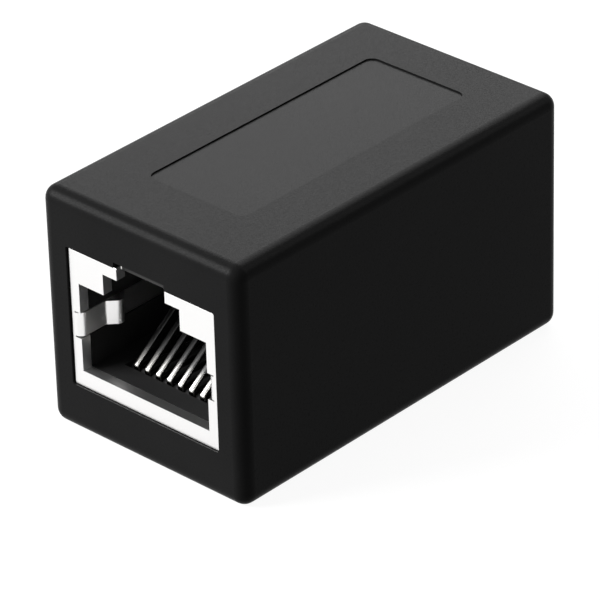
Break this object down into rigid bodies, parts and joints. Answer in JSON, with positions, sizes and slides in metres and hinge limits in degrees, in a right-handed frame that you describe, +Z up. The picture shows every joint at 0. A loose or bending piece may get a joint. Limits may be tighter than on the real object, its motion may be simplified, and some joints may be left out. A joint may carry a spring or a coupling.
{
  "type": "rj45 inline coupler",
  "caption": "Inline coupler for network leads: a rounded black housing with a shielded modular plug port at each end, joined straight through by a small board inside.",
  "frame": {"origin": "centre of the housing's underside", "axes": "+Z up, +Y along the housing from the front port to the rear port, +X to the right of someone who looks into the front port"},
  "size_m": [0.018, 0.032, 0.0182],
  "materials": {
    "housing_plastic": "black moulded plastic with a fine satin texture",
    "insulator_plastic": "black glass-filled plastic, satin",
    "shield_metal": "nickel-plated folded sheet, smooth",
    "contact_metal": "plated spring bronze, bright",
    "board_laminate": "glass-fibre laminate with solder resist"
  },
  "bodies": {
    "root": {"housing_sleeve": "housing_plastic", "front_cap": "housing_plastic", "circuit_board": "board_laminate", "front_shield": "shield_metal", "front_insulator": "insulator_plastic", "front_contact_insert": "insulator_plastic", "front_contact_1": "contact_metal", "front_contact_2": "contact_metal", "front_contact_3": "contact_metal", "front_contact_4": "contact_metal", "front_contact_5": "contact_metal", "front_contact_6": "contact_metal", "front_contact_7": "contact_metal", "front_contact_8": "contact_metal", "rear_shield": "shield_metal", "rear_insulator": "insulator_plastic", "rear_contact_insert": "insulator_plastic", "rear_contact_1": "contact_metal", "rear_contact_2": "contact_metal", "rear_contact_3": "contact_metal", "rear_contact_4": "contact_metal", "rear_contact_5": "contact_metal", "rear_contact_6": "contact_metal", "rear_contact_7": "contact_metal", "rear_contact_8": "contact_metal"}
  },
  "joints": []
}
